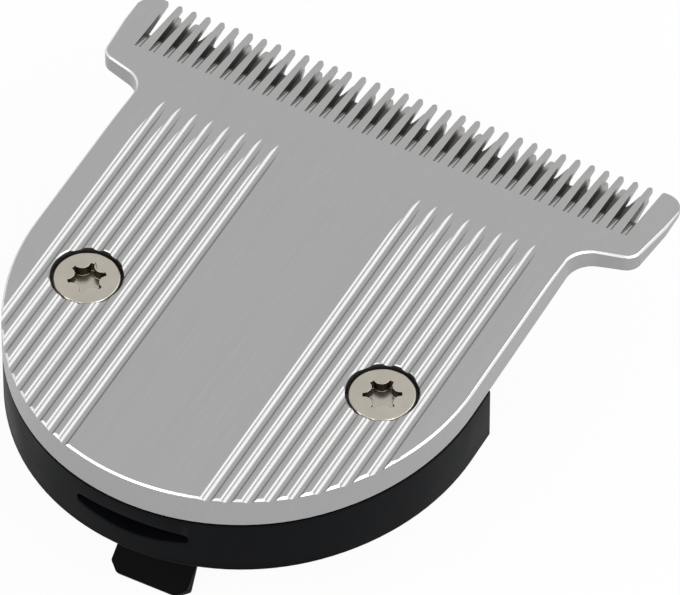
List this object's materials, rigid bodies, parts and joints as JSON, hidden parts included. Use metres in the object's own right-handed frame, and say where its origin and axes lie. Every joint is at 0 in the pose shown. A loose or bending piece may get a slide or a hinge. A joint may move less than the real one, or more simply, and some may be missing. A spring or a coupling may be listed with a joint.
{
  "type": "hair clipper blade",
  "caption": "T-shaped hair clipper blade cartridge: grooved steel comb plate screwed to a black plastic base, with a sliding toothed cutter held up by a wire spring.",
  "frame": {"origin": "on the flat underside of the base, midway between the two screws", "axes": "+Z out of the grooved face, +Y towards the teeth, +X to the right as seen from the rear with the grooved face up"},
  "size_m": [0.04, 0.0394, 0.0128],
  "materials": {
    "comb_steel": "satin ground stainless steel",
    "cutter_steel": "fine ground hardened steel",
    "carriage_plastic": "moulded slippery plastic",
    "spring_steel": "drawn spring wire",
    "base_plastic": "satin moulded black plastic",
    "screw_steel": "nickel plated steel",
    "insert_brass": "plain brass"
  },
  "bodies": {
    "holder": {"base": "base_plastic", "comb_blade": "comb_steel", "pressure_spring": "spring_steel", "left_screw": "screw_steel", "right_screw": "screw_steel", "left_insert": "insert_brass", "right_insert": "insert_brass"},
    "cutter": {"cutter_blade": "cutter_steel", "drive_carriage": "carriage_plastic"}
  },
  "joints": [
    {"name": "cutter_slide", "type": "slide", "parent": "holder", "child": "cutter", "axis": [1, 0, 0], "range_m": [-0.0013, 0.0013]}
  ]
}
